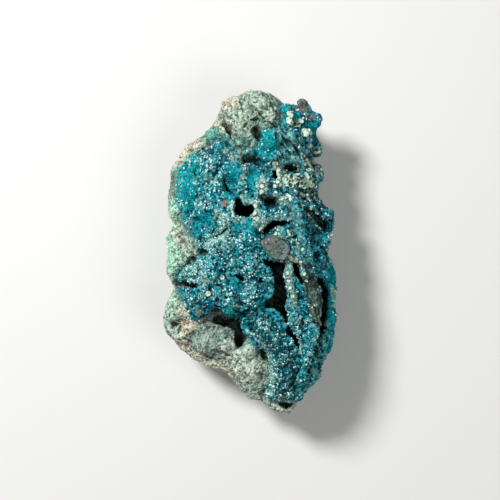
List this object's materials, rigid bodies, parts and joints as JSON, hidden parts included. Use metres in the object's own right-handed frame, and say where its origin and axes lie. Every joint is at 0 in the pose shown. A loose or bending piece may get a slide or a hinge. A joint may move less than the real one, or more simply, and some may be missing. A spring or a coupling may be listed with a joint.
{
  "type": "chrysocolla specimen",
  "caption": "Loose hand specimen: a lumpy blue-green chrysocolla crust with deep vugs, grown over a broken piece of pale porous host rock, lying on its back.",
  "frame": {"origin": "middle of the base the specimen rests on, at the middle of its bounding box in plan", "axes": "+Z out of the display face, +Y along the specimen's length towards the pale knob, +X towards the side with the long narrow slot"},
  "size_m": [0.0369, 0.0699, 0.0221],
  "materials": {
    "host_rock": "rough, porous, matt",
    "chrysocolla": "fine sparkling druse over botryoidal lumps, waxy to glassy"
  },
  "bodies": {
    "root": {"host_rock": "host_rock", "chrysocolla_crust": "chrysocolla"}
  },
  "joints": []
}
